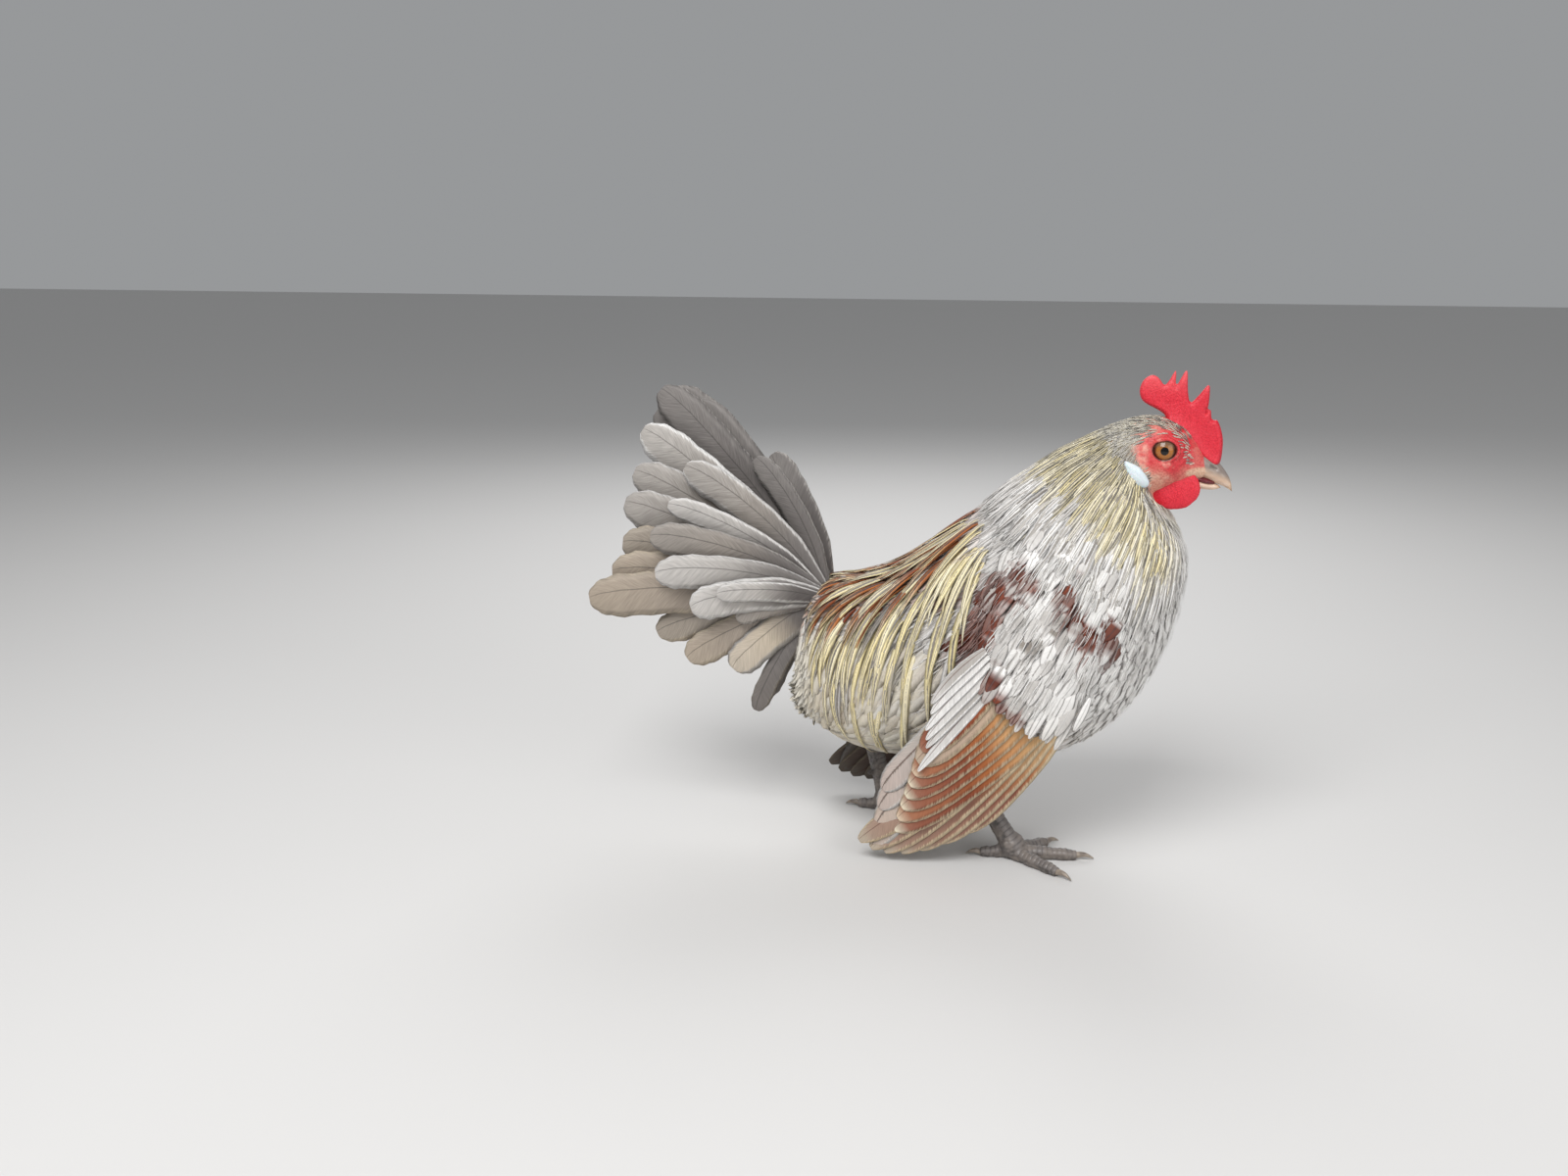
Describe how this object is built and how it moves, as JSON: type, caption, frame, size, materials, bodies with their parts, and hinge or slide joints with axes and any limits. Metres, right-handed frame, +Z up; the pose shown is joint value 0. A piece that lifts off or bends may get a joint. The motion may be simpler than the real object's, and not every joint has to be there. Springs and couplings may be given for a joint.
{
  "type": "bantam cockerel",
  "caption": "Standing bantam cockerel with a single comb, forward leaning head, drooped wings and a raised fan tail.",
  "frame": {"origin": "on the floor under the middle of the whole bird's box", "axes": "+X is forward, the way the bird faces; +Y is the bird's left; +Z is up"},
  "size_m": [0.2632, 0.0984, 0.2038],
  "materials": {
    "plumage": "soft body feathers, silver grey mottled with rust",
    "hackle": "straw coloured hackles with grey centres",
    "wing": "flight feathers, orange brown with beige grey tips",
    "tail": "slate grey tail feathers with pale edges",
    "face": "pebbled bare red skin",
    "comb": "bright red, finely pebbled skin",
    "earlobe": "smooth bluish white skin",
    "beak": "satin horn",
    "eye": "wet gloss",
    "leg": "slate scales",
    "claw": "satin horn"
  },
  "bodies": {
    "root": {"beak_lower": "beak", "beak_upper": "beak", "claw_hind_left": "claw", "claw_hind_right": "claw", "claw_inner_left": "claw", "claw_inner_right": "claw", "claw_middle_left": "claw", "claw_middle_right": "claw", "claw_outer_left": "claw", "claw_outer_right": "claw", "comb": "comb", "earlobe_left": "earlobe", "earlobe_right": "earlobe", "eye_left": "eye", "eye_right": "eye", "foot_left": "leg", "foot_right": "leg", "head": "face", "neck": "hackle", "shank_left": "leg", "shank_right": "leg", "tail": "tail", "thigh_left": "plumage", "thigh_right": "plumage", "torso": "plumage", "wattle_left": "comb", "wattle_right": "comb", "wing_left": "wing", "wing_right": "wing"}
  },
  "joints": []
}
